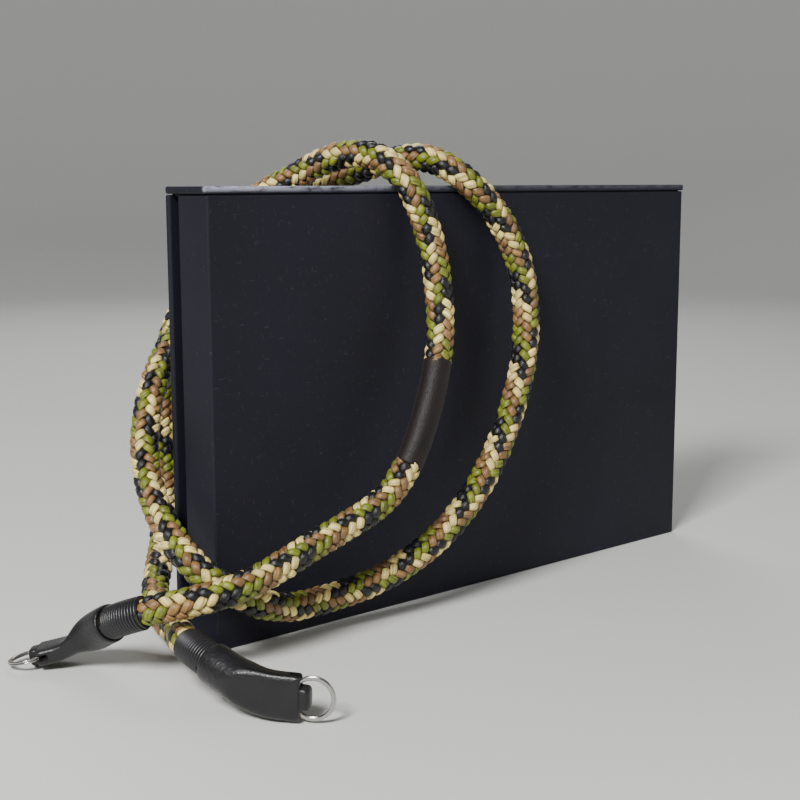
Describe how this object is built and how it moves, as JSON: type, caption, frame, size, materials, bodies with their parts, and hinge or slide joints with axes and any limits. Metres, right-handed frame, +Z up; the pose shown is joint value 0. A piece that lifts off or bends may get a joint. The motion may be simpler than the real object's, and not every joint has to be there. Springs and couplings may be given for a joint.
{
  "type": "camera neck strap draped over its box",
  "caption": "Braided rope camera neck strap with leather ends, a split ring at each end and a sleeve mid-way, wound over an upright slim box.",
  "frame": {"origin": "centre of the box's foot, on the floor", "axes": "+Z up, +X along the box's face to the right, -Y the side the front leather end comes round to"},
  "size_m": [0.2947, 0.1555, 0.1656],
  "materials": {
    "box_paper": "matt coated paper over board",
    "camouflage_cord": "braided silky cord in green, tan, brown and black",
    "brown_leather": "smooth dark brown leather",
    "black_leather": "satin black leather",
    "black_thread": "waxed black thread wound tight",
    "plated_steel": "bright nickel plate"
  },
  "bodies": {
    "root": {"box_tray": "box_paper", "box_back_board": "box_paper", "box_top_board": "box_paper", "rope": "camouflage_cord", "middle_sleeve": "brown_leather", "left_whipping": "black_thread", "left_leather_end": "black_leather", "left_split_ring": "plated_steel", "front_whipping": "black_thread", "front_leather_end": "black_leather", "front_split_ring": "plated_steel"}
  },
  "joints": []
}
